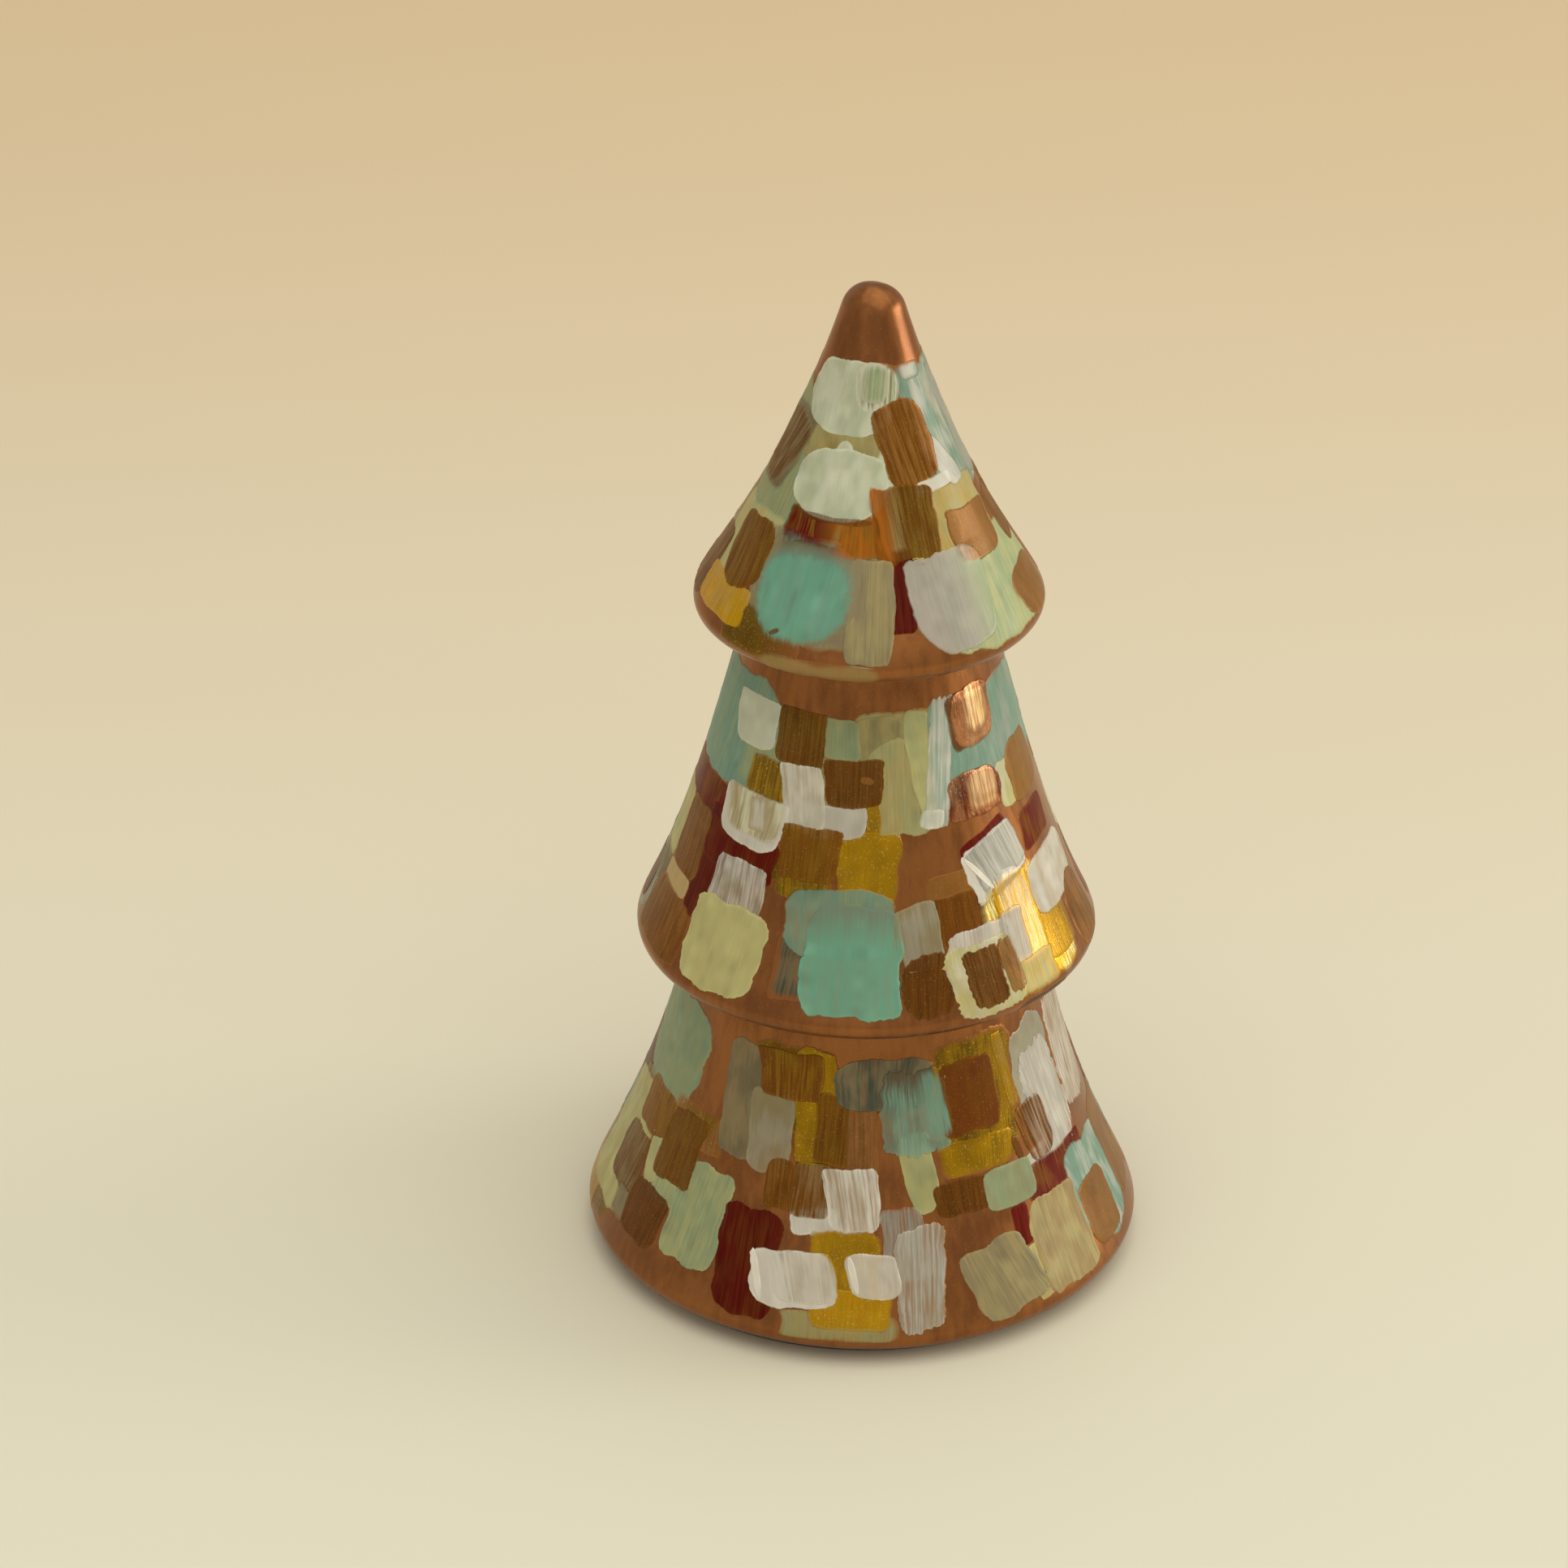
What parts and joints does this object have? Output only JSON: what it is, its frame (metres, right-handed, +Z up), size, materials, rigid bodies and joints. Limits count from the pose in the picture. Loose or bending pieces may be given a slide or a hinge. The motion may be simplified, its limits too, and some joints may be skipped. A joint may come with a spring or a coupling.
{
  "type": "three-tier clay conifer figurine",
  "caption": "Stylised conifer ornament: hollow flared clay cones stacked and luted together, painted in copper with flat-brush dabs, on a closed foot with a vent hole.",
  "frame": {"origin": "on the tree's axis, at the surface that the felt pad rests on", "axes": "+Z up along the tree's axis to its tip; +X and +Y lie in the resting surface, and the tree is round so neither is marked"},
  "size_m": [0.0668, 0.0668, 0.125],
  "materials": {
    "painted_clay": "copper base coat with brushed dabs of mint, ivory, gold, brown and dark red under gloss varnish",
    "bare_clay": "matt, fired, unpainted",
    "felt": "matt pressed felt"
  },
  "bodies": {
    "root": {"top_tier": "painted_clay", "middle_tier": "painted_clay", "bottom_tier": "painted_clay", "upper_luting_ring": "painted_clay", "lower_luting_ring": "painted_clay", "base_disc": "bare_clay", "base_luting_ring": "bare_clay", "felt_pad": "felt"}
  },
  "joints": []
}
